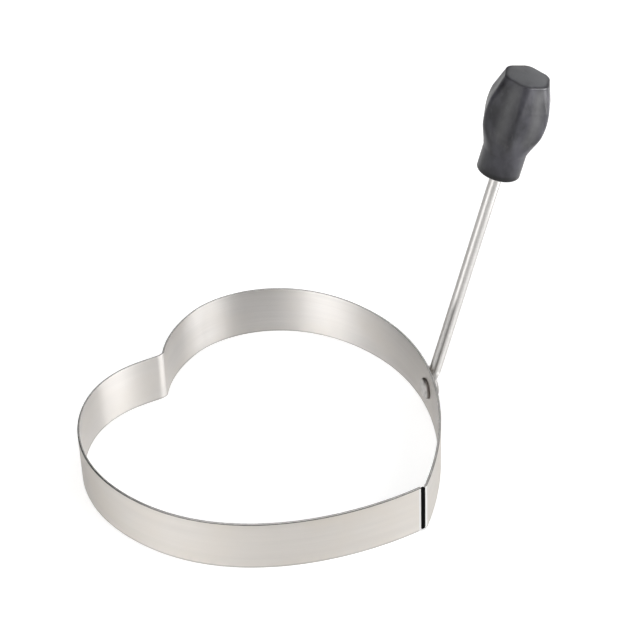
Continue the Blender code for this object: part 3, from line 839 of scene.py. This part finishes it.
class Finish(Nodes):
    """A material in the making, with short ways to its surface and its shader."""

    def __init__(self, name, colour, metallic, roughness):
        self.material = bpy.data.materials.new(name)
        self.material.use_nodes = True
        self.material.diffuse_color = (*colour, 1.0)
        super().__init__(self.material.node_tree)
        self.shader = self.tree.nodes["Principled BSDF"]
        self.set("Base Color", (*colour, 1.0))
        self.set("Metallic", metallic)
        self.set("Roughness", roughness)

    def set(self, socket, value):
        """Give the shader a plain value, or join one of its inputs to a socket."""
        self.give(self.shader.inputs[socket], value)

    def surface(self):
        """The piece's UV map: metres along the surface and around it."""
        return self.add("ShaderNodeUVMap", uv_map="surface")["UV"]

    def noise(self, coordinate, scale, detail, breaking=EVEN_BREAKING):
        """Noise over a coordinate that is scaled on each axis, so that it can run in streaks."""
        scaled = self.add("ShaderNodeMapping", {"Vector": coordinate, "Scale": scale})["Vector"]
        values = {"Vector": scaled, "Scale": 1.0, "Detail": detail, "Roughness": breaking}
        return self.add("ShaderNodeTexNoise", values)["Fac"]

    def mix(self, share, first, second):
        """A colour between two, each a socket or a colour."""
        values = {"Factor": share}
        for socket, value in ((FIRST_COLOUR, first), (SECOND_COLOUR, second)):
            values[socket] = value if isinstance(value, bpy.types.NodeSocket) else (*value, 1.0)
        return self.add("ShaderNodeMix", values, data_type="RGBA")[MIXED_COLOUR]

    def toned(self, tone, colour, shades):
        """A colour that runs between two shades of itself."""
        darker, paler = shades
        return self.mix(tone, shade(colour, darker), shade(colour, paler))

    def waver(self, noise, ends):
        """Let the roughness run from one end to the other with a noise."""
        self.set("Roughness", self.spread(noise, MOST_OF_NOISE, ends))

    def stretch(self, strength, turn=0.0):
        """Stretch reflections along the UV map's first direction, or a share of a turn away from it."""
        self.set("Anisotropic", strength)
        self.set("Anisotropic Rotation", turn)
        tangent = self.add("ShaderNodeTangent", direction_type="UV_MAP", uv_map="surface")
        self.set("Tangent", tangent[0])

    def bump(self, height, strength, distance):
        """Shade the surface as if a height from 0 to 1 raised it by up to a distance."""
        made = self.add("ShaderNodeBump", {"Height": height, "Strength": strength, "Distance": distance})
        self.set("Normal", made["Normal"])


def shade(colour, share):
    """A colour made darker or lighter by a share."""
    return tuple(min(1.0, channel * share) for channel in colour)


# How often each noise repeats in a metre, on each axis of the UV map or of the object
FINE_STREAKS = (60.0, 2600.0, 1.0)
BROAD_STREAKS = (18.0, 420.0, 1.0)
STEEL_CLOUDS = (60.0, 60.0, 90.0)
EDGE_MARKS = (300.0, 4000.0, 1.0)
ROD_LINES = (3000.0, 60.0, 1.0)
RIVET_MARKS = (900.0, 900.0, 900.0)
BEAD_GRAIN = (2500.0, 2500.0, 1200.0)
GRIP_MOTTLE = (230.0, 230.0, 150.0)
GRIP_SCUFFS = (700.0, 500.0, 160.0)
GRIP_GRAIN = (5200.0, 5200.0, 5200.0)

# Faces of the strip: how strong are their streaks, painted shade along the foot, stretched reflections and
# relief
BRUSHED_FACE = {"streak": 0.04, "foot_shade": 0.55, "stretch": 1.0, "relief": 0.3}
SATIN_FACE = {"streak": 0.025, "foot_shade": 0.4, "stretch": 0.7, "relief": 0.2}
FINE_STREAK_SHARE = 0.45
BROAD_STREAK_SHARE = 0.55
WARM_CLOUD = (1.0, 0.988, 0.968)
# Painted shade along each face's foot: its reach up the section, its unevenness and its darkness
FOOT_SHADE_REACH = (0.00012, 0.0005)
FOOT_SHADE_UNEVENNESS = (0.6, 1.0)
FOOT_SHADE_SHARE = 0.25
# How softly each end's painted highlight fades, as a share of its width
HIGHLIGHT_FADE_SHARE = 0.12
FACE_WAVER = 0.03
QUARTER_TURN_SHARE = 0.25
STEEL_RELIEF = 0.00002

# The strip's edges
EDGE_SHADES = (0.9, 1.06)
EDGE_WAVER = 0.05
CUT_EDGE_ROUGHNESS = 0.25
ROLLED_EDGE_ROUGHNESS = 0.35

# Rod: its painted shade is measured up from the rivet, and round the rod as shares of its girth
ROD_ROUGHNESS = 0.4
ROD_WAVER = 0.03
ROD_SHADES = (0.94, 1.04)
ROD_SHADE_TOP = (0.0265, 0.0315)
ROD_SHADE_MIDDLE_SHARE = 0.637
ROD_SHADE_REACH_SHARES = (0.03, 0.065)
ROD_SHADE_SHARE = 0.42
ROD_STRETCH = 0.95
ROD_LINE_STRENGTH = 0.2

# Rivet: the reach of its ring of painted shade is in shares of its inner head's height, from the head's rim
RIVET_ROUGHNESS = 0.45
RIVET_ROUGHNESS_RANGE = (0.4, 0.52)
RIVET_SHADES = (0.74, 1.1)
RIVET_RIM_SHADE_SHARES = (0.45, 0.75)
RIVET_MARK_STRENGTH = 0.25
RIVET_RELIEF = 0.00004

# How unevenly the painted shade on the rod and the ring of painted shade on the rivet cover them
COVER_UNEVENNESS = (0.8, 1.0)

BEAD_ROUGHNESS = 0.85
BEAD_SPECULAR = 0.05
BEAD_SHADES = (1.0, 2.0)
BEAD_GRAIN_STRENGTH = 0.2
BEAD_RELIEF = 0.00003

GRIP_ROUGHNESS = 0.4
GRIP_ROUGHNESS_RANGE = (0.33, 0.48)
GRIP_SPECULAR = 0.3
MOTTLE_SHADES = (0.5, 1.55)
SCUFF_STRENGTHS = (0.0, 0.5)
SCUFF_HEIGHT = 2.0
TOP_UNEVENNESS = (0.65, 1.0)
# How dark the grip's painted edge shade is, as a share of its colour
PAINTED_EDGE_SHADE = 0.12
GRIP_GRAIN_STRENGTH = 0.25
GRIP_RELIEF = 0.00003

# The grip's bands of painted light, as shares of a flat from one corner to the next; the ridges between them
# keep the darker colour as painted shade
LIT_BAND_OFF_MIDDLE_SHARE = 0.14
LIT_BAND_SHARES = (0.2, 0.44)
HALF_FLAT_SHARE = 0.5
LIT_BAND_UNEVENNESS = (0.5, 0.9)

# Where the grip's bands of painted light fade and where painted shade darkens its edges, as shares of its
# top edge's radius
LIT_BAND_TOP_SHARES = (5.0, 1.0)
LIT_BAND_TOP_STRENGTHS = (1.0, 0.4)
RIM_MIDDLE_SHARE = 0.5
RIM_REACH_SHARE = 0.8
RIM_STRENGTHS = (0.5, 0.0)
LIP_SHARES = (2.2, 3.6)
LIP_STRENGTHS = (0.9, 0.0)


def strip_finish(name, colour, roughness, face, end_highlights, foot):
    """Stainless steel: streaks, soft clouds, painted shade along its foot and painted highlights at its
    ends.

    The end highlights are the paler steel's colour and width and the strip's length, at whose ends they
    lie. The foot is how far round the strip's section this face's lower end lies.
    """
    highlight_colour, width, length = end_highlights
    finish = Finish(name, colour, 1.0, roughness)
    surface = finish.surface()
    along, around, _ = finish.split(surface)
    fine = finish.noise(surface, FINE_STREAKS, MEDIUM)
    broad = finish.noise(surface, BROAD_STREAKS, SOFT)
    clouds = finish.noise(finish.place(), STEEL_CLOUDS, SOFT)

    fine_part = finish.math("MULTIPLY", fine, FINE_STREAK_SHARE)
    broad_part = finish.math("MULTIPLY", broad, BROAD_STREAK_SHARE)
    tone = finish.spread(finish.math("ADD", fine_part, broad_part), STREAKS_OF_NOISE)
    steel = finish.toned(tone, colour, (1.0 - face["streak"], 1.0 + face["streak"]))
    warm = tuple(channel * share for channel, share in zip(colour, WARM_CLOUD))
    steel = finish.mix(finish.spread(clouds, UPPER_NOISE), steel, warm)

    # Painted shade: a dark band along the face's lower edge, where the strip stands on the floor
    shaded_share = finish.spread(finish.off(around, foot), FOOT_SHADE_REACH, (face["foot_shade"], 0.0))
    shaded_share = finish.uneven(shaded_share, clouds, FOOT_SHADE_UNEVENNESS)
    steel = finish.mix(shaded_share, steel, shade(colour, FOOT_SHADE_SHARE))

    # Painted highlight: paler steel over the last stretch at each end of the strip
    soft = width * HIGHLIGHT_FADE_SHARE
    to_start = finish.spread(along, (width, width + soft), FALLING)
    to_end = finish.spread(along, (length - width - soft, length - width))
    finish.set("Base Color", finish.mix(finish.math("MAXIMUM", to_start, to_end), steel, highlight_colour))
    finish.waver(fine, (roughness - FACE_WAVER, roughness + FACE_WAVER))
    finish.stretch(face["stretch"], QUARTER_TURN_SHARE)
    finish.bump(fine, face["relief"], STEEL_RELIEF)
    return finish.material


def brushed_finish(finishes, end_highlights, foot):
    """The inner face, brushed along the strip so that reflections stretch up and down."""
    steel = (finishes.inner_steel, finishes.inner_roughness)
    return strip_finish("brushed_inner_face", *steel, BRUSHED_FACE, end_highlights, foot)


def satin_finish(finishes, end_highlights, foot):
    """The outer face, which is duller and more even than the inner one."""
    steel = (finishes.outer_steel, finishes.outer_roughness)
    return strip_finish("satin_outer_face", *steel, SATIN_FACE, end_highlights, foot)


def edge_finish(name, colour, roughness):
    """One of the strip's edges, with short marks along it."""
    finish = Finish(name, colour, 1.0, roughness)
    marks = finish.noise(finish.surface(), EDGE_MARKS, SOFT)
    finish.set("Base Color", finish.toned(finish.spread(marks, MIDDLE_OF_NOISE), colour, EDGE_SHADES))
    finish.waver(marks, (roughness - EDGE_WAVER, roughness + EDGE_WAVER))
    return finish.material


def rod_finish(finishes, girth):
    """Ground steel rod: fine lines run round it, so that reflections stretch along it.

    Its lower part is painted darker as shade on the side that faces the ring.
    """
    finish = Finish("ground_rod", finishes.rod, 1.0, ROD_ROUGHNESS)
    surface = finish.surface()
    along, around, _ = finish.split(surface)
    lines = finish.noise(surface, ROD_LINES, MEDIUM)
    colour = finish.toned(finish.spread(lines, MIDDLE_OF_NOISE), finishes.rod, ROD_SHADES)

    # Painted shade: the rod's lower part is darkened on the side towards the ring
    low = finish.uneven(finish.spread(along, ROD_SHADE_TOP, FALLING), lines, COVER_UNEVENNESS)
    off_middle = finish.off(around, girth * ROD_SHADE_MIDDLE_SHARE)
    reach = [girth * share for share in ROD_SHADE_REACH_SHARES]
    shaded_share = finish.math("MULTIPLY", low, finish.spread(off_middle, reach, FALLING))
    finish.set("Base Color", finish.mix(shaded_share, colour, shade(finishes.rod, ROD_SHADE_SHARE)))

    finish.waver(lines, (ROD_ROUGHNESS - ROD_WAVER, ROD_ROUGHNESS + ROD_WAVER))
    finish.stretch(ROD_STRETCH)
    finish.bump(lines, ROD_LINE_STRENGTH, STEEL_RELIEF)
    return finish.material


def rivet_finish(finishes, rim, head_height):
    """Formed steel with press marks, and a dark ring of painted shade on the side of the inner head, by the
    wall.

    The rim is how far along the rivet's profile the ring's middle lies.
    """
    finish = Finish("formed_rivet", finishes.rivet, 1.0, RIVET_ROUGHNESS)
    along, _, _ = finish.split(finish.surface())
    marks = finish.noise(finish.place(), RIVET_MARKS, MEDIUM)
    colour = finish.toned(finish.spread(marks, MIDDLE_OF_NOISE), finishes.rivet, RIVET_SHADES)
    # Painted shade: a dark ring round the inner head's side, by its rim
    reach = [head_height * share for share in RIVET_RIM_SHADE_SHARES]
    ring = finish.spread(finish.off(along, rim), reach, FALLING)
    ring = finish.uneven(ring, marks, COVER_UNEVENNESS)
    finish.set("Base Color", finish.mix(ring, colour, finishes.rivet_rim_shade))
    finish.waver(marks, RIVET_ROUGHNESS_RANGE)
    finish.bump(marks, RIVET_MARK_STRENGTH, RIVET_RELIEF)
    return finish.material


def gap_shade_finish(finishes):
    """Near-black bead, matte with a faint grain, standing in as painted shade for the gap between the
    strip's ends.
    """
    finish = Finish("painted_gap_shade", finishes.bead, 0.0, BEAD_ROUGHNESS)
    grain = finish.noise(finish.place(), BEAD_GRAIN, MEDIUM)
    finish.set("Base Color", finish.toned(finish.spread(grain, UPPER_NOISE), finishes.bead, BEAD_SHADES))
    finish.set("Specular IOR Level", BEAD_SPECULAR)
    finish.bump(grain, BEAD_GRAIN_STRENGTH, BEAD_RELIEF)
    return finish.material


def lit_flat_bands(finish, along, around, mottle, landmarks, girth):
    """Painted light on the grip: a paler band up each flat of the barrel, weaker near the top, leaving the
    ridges between darker as painted shade.
    """
    _, collar_end, shoulder, top = landmarks
    flats_round = finish.math("MULTIPLY", around, GRIP_FLATS / girth)
    shifted = finish.math("SUBTRACT", flats_round, LIT_BAND_OFF_MIDDLE_SHARE)
    flat = finish.spread(finish.math("PINGPONG", shifted, HALF_FLAT_SHARE), LIT_BAND_SHARES)
    on_barrel = finish.spread(along, ((collar_end + shoulder) / 2, shoulder))
    near_top = [top - TOP_EDGE_RADIUS * share for share in LIT_BAND_TOP_SHARES]
    below_top = finish.spread(along, near_top, LIT_BAND_TOP_STRENGTHS)
    lightened = finish.math("MULTIPLY", finish.math("MULTIPLY", flat, on_barrel), below_top)
    return finish.uneven(lightened, mottle, LIT_BAND_UNEVENNESS)


def grip_finish(finishes, landmarks, girth):
    """Charcoal plastic with soft mottling, scuffs and a fine moulded grain.

    The landmarks are distances along the grip's profile. Its six flats and its top are painted paler as
    light, and its foot and the edge round its top are painted darker as shade.
    """
    foot, _, _, top = landmarks
    finish = Finish("charcoal_moulding", finishes.grip, 0.0, GRIP_ROUGHNESS)
    finish.set("Specular IOR Level", GRIP_SPECULAR)
    along, around, _ = finish.split(finish.surface())
    where = finish.place()
    mottle = finish.noise(where, GRIP_MOTTLE, MEDIUM)
    scuffs = finish.noise(where, GRIP_SCUFFS, CRISP, HARD_BREAKING)
    grain = finish.noise(where, GRIP_GRAIN, SOFT)

    colour = finish.toned(finish.spread(mottle, MIDDLE_OF_NOISE), finishes.grip, MOTTLE_SHADES)
    # Painted light on the flats, with painted shade left on the ridges between them
    lightened = lit_flat_bands(finish, along, around, mottle, landmarks, girth)
    colour = finish.mix(lightened, colour, finishes.grip_scuff_and_light)
    # Scuffs: real wear, in the same paler colour
    colour = finish.mix(finish.spread(scuffs, PEAKS_OF_NOISE, SCUFF_STRENGTHS), colour, finishes.grip_scuff_and_light)
    # Painted light on the grip's top face
    lit_top = finish.spread(along, (top, top + TOP_EDGE_RADIUS))
    lit_top = finish.uneven(lit_top, mottle, TOP_UNEVENNESS)
    colour = finish.mix(lit_top, colour, finishes.grip_lit_top)

    # Painted shade: the edge round the top and the collar's lower edge are darkened
    off_edge = finish.off(along, top - TOP_EDGE_RADIUS * RIM_MIDDLE_SHARE)
    rim = finish.spread(off_edge, (0.0, TOP_EDGE_RADIUS * RIM_REACH_SHARE), RIM_STRENGTHS)
    lip_ends = [foot + TOP_EDGE_RADIUS * share for share in LIP_SHARES]
    lip = finish.spread(along, lip_ends, LIP_STRENGTHS)
    dark = shade(finishes.grip, PAINTED_EDGE_SHADE)
    finish.set("Base Color", finish.mix(finish.math("MAXIMUM", rim, lip), colour, dark))
    finish.waver(mottle, GRIP_ROUGHNESS_RANGE)
    height = finish.math("ADD", grain, finish.math("MULTIPLY", scuffs, SCUFF_HEIGHT))
    finish.bump(height, GRIP_GRAIN_STRENGTH, GRIP_RELIEF)
    return finish.material


def stand_in(piece, body, node):
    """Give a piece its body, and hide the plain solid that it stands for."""
    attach(piece, body)
    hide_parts(node)


class EGGRING_OT_strip(bpy.types.Operator):
    """Make the brushed steel strip, bent to a heart."""

    bl_idname = "egg_ring.strip"
    bl_label = "Strip"

    def execute(self, context):
        sizes = context.scene.egg_ring_sizes
        finishes = context.scene.egg_ring_finishes
        # The painted end highlights: their colour, their width and the strip's length
        end_highlights = (finishes.margin, finishes.highlight_width, walked(heart_path(sizes))[-1])
        inner_foot, outer_foot = strip_feet(sizes)
        steels = (
            brushed_finish(finishes, end_highlights, inner_foot),
            satin_finish(finishes, end_highlights, outer_foot),
            edge_finish("cut_edge", finishes.cut_edge, CUT_EDGE_ROUGHNESS),
            # Painted shade: the rolled top edge's near-black finish
            edge_finish("shaded_rolled_edge", finishes.shaded_rolled_edge, ROLLED_EDGE_ROUGHNESS),
        )
        stand_in(make_strip(sizes, steels), "ring", "ring_band")
        return {"FINISHED"}


class EGGRING_OT_bead(bpy.types.Operator):
    """Make the dark bead between the strip's ends, painted shade for the gap there."""

    bl_idname = "egg_ring.bead"
    bl_label = "Joint bead"

    def execute(self, context):
        piece = make_bead(context.scene.egg_ring_sizes)
        piece.data.materials.append(gap_shade_finish(context.scene.egg_ring_finishes))
        stand_in(piece, "ring", "tip_seam")
        return {"FINISHED"}


class EGGRING_OT_rivet(bpy.types.Operator):
    """Make the rivet that the handle swings on."""

    bl_idname = "egg_ring.rivet"
    bl_label = "Rivet"

    def execute(self, context):
        sizes = context.scene.egg_ring_sizes
        piece = make_rivet(sizes)
        steel = rivet_finish(context.scene.egg_ring_finishes, inner_rim(sizes), sizes.inner_head_height)
        piece.data.materials.append(steel)
        stand_in(piece, "ring", "pivot_rivet")
        return {"FINISHED"}


class EGGRING_OT_rod(bpy.types.Operator):
    """Make the handle's steel rod and its pressed eye."""

    bl_idname = "egg_ring.rod"
    bl_label = "Handle rod"

    def execute(self, context):
        sizes = context.scene.egg_ring_sizes
        piece = make_rod(sizes)
        steel = rod_finish(context.scene.egg_ring_finishes, math.pi * sizes.rod_diameter)
        piece.data.materials.append(steel)
        stand_in(piece, "handle", "handle_rod")
        return {"FINISHED"}


class EGGRING_OT_grip(bpy.types.Operator):
    """Make the moulded grip."""

    bl_idname = "egg_ring.grip"
    bl_label = "Grip"

    def execute(self, context):
        sizes = context.scene.egg_ring_sizes
        piece = make_grip(sizes)
        finishes = context.scene.egg_ring_finishes
        plastic = grip_finish(finishes, grip_landmarks(sizes), grip_girth(sizes))
        piece.data.materials.append(plastic)
        stand_in(piece, "handle", "grip")
        return {"FINISHED"}


FLOOR_RADIUS = 3.0
FLOOR_SIDES = 64
FLOOR_COLOUR = (0.8, 0.8, 0.8)
FLOOR_ROUGHNESS = 0.9
FLOOR_GLOW = 0.45
TOP_LIGHT_SIZE = 1.0
TOP_LIGHT_HEIGHT = 1.3
GRIP_LIGHT_BEARING = math.radians(-64.0)
GRIP_LIGHT_HEIGHT = math.radians(5.0)
GRIP_LIGHT_DISTANCE = 0.8
GRIP_LIGHT_RADIUS = 0.016
GRIP_LIGHT_CONE = math.radians(3.6)
GRIP_LIGHT_AIM_SHARE = 0.7
WHITE = (1.0, 1.0, 1.0, 1.0)

# Bearings in degrees: where a soft light or a dark curtain starts, is full, is still full and ends
LEFT_WINDOW = (140.0, 166.0, 178.0, 203.0)
RIGHT_WINDOW = (-108.0, -72.0, -50.0, -44.0)
FRONT_CURTAIN = (-158.0, -140.0, -110.0, -92.0)
BACK_CURTAIN = (42.0, 62.0, 118.0, 140.0)
CURTAIN_DARKNESS = 0.96

# How high a direction points where the walls start to end and have ended, and the ceiling's brightness
WALL_TOP = (0.77, 0.87)
CEILING = 0.45


def seen_white(nodes, strength):
    """A strength that counts only for what the camera, a reflection or a clear pane sees."""
    path = nodes.add("ShaderNodeLightPath")
    seen = nodes.math("MAXIMUM", path["Is Camera Ray"], path["Is Glossy Ray"])
    seen = nodes.math("MAXIMUM", seen, path["Is Transmission Ray"])
    return nodes.math("MULTIPLY", seen, strength)


def make_floor():
    """A round pale floor: points at even turns on a circle."""
    turn = np.linspace(0.0, 2 * math.pi, FLOOR_SIDES, endpoint=False)
    rim = np.stack([np.cos(turn), np.sin(turn), np.zeros(FLOOR_SIDES)], 1) * FLOOR_RADIUS
    mesh = bpy.data.meshes.new("floor")
    mesh.from_pydata(rim.tolist(), [], [list(range(FLOOR_SIDES))])
    finish = Finish("pale_floor", FLOOR_COLOUR, 0.0, FLOOR_ROUGHNESS)
    finish.set("Specular IOR Level", 0.0)
    finish.set("Emission Color", WHITE)
    finish.set("Emission Strength", seen_white(finish, FLOOR_GLOW))
    mesh.materials.append(finish.material)
    in_scene("floor", mesh)


def zone(nodes, bearing, edges):
    """How far a bearing lies in a zone of the walls: 0 outside it, 1 in its full part, eased between."""
    start, full, still_full, end = np.radians(edges)
    middle = (full + still_full) / 2
    off = nodes.math("WRAP", nodes.math("SUBTRACT", bearing, middle), math.pi, -math.pi)
    rise = nodes.spread(off, (start - middle, full - middle), **EASED_STEP)
    fall = nodes.spread(off, (still_full - middle, end - middle), FALLING, **EASED_STEP)
    return nodes.math("MULTIPLY", rise, fall)


def make_room(studio):
    """The studio round the ring: pale walls with two soft windows and two dark curtains, and a ceiling.

    A bearing is the angle round Z, from +X, of the direction that is seen.
    """
    world = bpy.data.worlds.new("studio_room")
    world.use_nodes = True
    nodes = Nodes(world.node_tree)
    right, away, up = nodes.split(nodes.place())
    bearing = nodes.math("ARCTAN2", away, right)
    wall = studio.room
    for edges in (FRONT_CURTAIN, BACK_CURTAIN):
        share_left = nodes.math("MULTIPLY_ADD", zone(nodes, bearing, edges), -CURTAIN_DARKNESS, 1.0)
        wall = nodes.math("MULTIPLY", share_left, wall)
    for edges, brightness in ((LEFT_WINDOW, studio.left_window), (RIGHT_WINDOW, studio.right_window)):
        wall = nodes.math("MULTIPLY_ADD", zone(nodes, bearing, edges), brightness, wall)
    room = nodes.blend(nodes.spread(up, WALL_TOP, **EASED_STEP), wall, CEILING)
    seen = nodes.add("ShaderNodeLightPath")["Is Camera Ray"]
    strength = nodes.blend(seen, room, 1.0)
    background = nodes.tree.nodes["Background"]
    nodes.give(background.inputs["Color"], WHITE)
    nodes.give(background.inputs["Strength"], strength)
    return world


def direction(bearing, height):
    """The direction at a bearing b and a height angle h: (cos h cos b, cos h sin b, sin h)."""
    level = math.cos(height)
    return Vector((level * math.cos(bearing), level * math.sin(bearing), math.sin(height)))


def looking_at(aim, back, distance):
    """The place and turn of a light or a camera that looks at an aim from a distance back."""
    turned_back = back.to_track_quat("Z", "Y").to_matrix().to_4x4()
    return Matrix.Translation(aim + back * distance) @ turned_back


def make_light(name, kind, power, **settings):
    """A light that the camera itself doesn't see."""
    data = bpy.data.lights.new(name, kind)
    data.energy = power
    for setting_name, value in settings.items():
        setattr(data, setting_name, value)
    light = in_scene(name, data)
    light.visible_camera = False
    return light


def make_top_light(power):
    """A square soft light straight above the ring."""
    light = make_light("top_light", "AREA", power, size=TOP_LIGHT_SIZE)
    light.location = (0.0, 0.0, TOP_LIGHT_HEIGHT)


def make_grip_light(power):
    """A narrow soft light from beyond the heart's point, aimed at the grip's barrel."""
    beam = {"spot_size": GRIP_LIGHT_CONE, "spot_blend": 1.0, "shadow_soft_size": GRIP_LIGHT_RADIUS}
    light = make_light("grip_light", "SPOT", power, **beam)
    low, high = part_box("grip")
    aim = (low + high) / 2
    aim.z = low.z + GRIP_LIGHT_AIM_SHARE * (high.z - low.z)
    back = direction(GRIP_LIGHT_BEARING, GRIP_LIGHT_HEIGHT)
    light.matrix_world = looking_at(aim, back, GRIP_LIGHT_DISTANCE)


def make_camera():
    """The camera, where the photograph was taken from."""
    data = bpy.data.cameras.new("camera")
    data.lens = CAMERA_LENS
    camera = in_scene("camera", data)
    back = direction(CAMERA_AZIMUTH - math.pi / 2, CAMERA_ELEVATION)
    roll = Matrix.Rotation(CAMERA_ROLL, 4, "Z")
    camera.matrix_world = looking_at(CAMERA_AIM, back, CAMERA_DISTANCE) @ roll
    return camera


class EGGRING_OT_stage(bpy.types.Operator):
    """Set up the floor, the lights and the camera."""

    bl_idname = "egg_ring.stage"
    bl_label = "Stage"

    def execute(self, context):
        studio = context.scene.egg_ring_studio
        make_floor()
        make_top_light(studio.top_light)
        make_grip_light(studio.grip_light)
        context.scene.world = make_room(studio)
        context.scene.view_settings.view_transform = "Standard"
        context.scene.camera = make_camera()
        return {"FINISHED"}


class EGGRING_PT_panel(bpy.types.Panel):
    """Lists the sizes, the finishes, the light and a button for each piece."""

    bl_idname = "EGGRING_PT_panel"
    bl_label = "Egg Ring"
    bl_space_type = "VIEW_3D"
    bl_region_type = "UI"
    bl_category = "Egg Ring"

    def draw(self, context):
        for group in GROUPS:
            settings = getattr(context.scene, group)
            box = self.layout.box()
            for name in settings.__annotations__:
                box.prop(settings, name)
        for operator in OPERATORS:
            self.layout.operator(operator.bl_idname)


GROUPS = {
    "egg_ring_sizes": EggRingSizes,
    "egg_ring_finishes": EggRingFinishes,
    "egg_ring_studio": EggRingStudio,
}
OPERATORS = (
    EGGRING_OT_strip,
    EGGRING_OT_bead,
    EGGRING_OT_rivet,
    EGGRING_OT_rod,
    EGGRING_OT_grip,
    EGGRING_OT_stage,
)
CLASSES = (*GROUPS.values(), *OPERATORS, EGGRING_PT_panel)


def register():
    for made in CLASSES:
        bpy.utils.register_class(made)
    for name, group in GROUPS.items():
        setattr(bpy.types.Scene, name, bpy.props.PointerProperty(type=group))


def unregister():
    for name in GROUPS:
        delattr(bpy.types.Scene, name)
    for made in reversed(CLASSES):
        bpy.utils.unregister_class(made)


def main():
    """Make every piece and the stage."""
    register()
    bpy.ops.egg_ring.strip()
    bpy.ops.egg_ring.bead()
    bpy.ops.egg_ring.rivet()
    bpy.ops.egg_ring.rod()
    bpy.ops.egg_ring.grip()
    bpy.ops.egg_ring.stage()


if __name__ == "__main__":
    main()
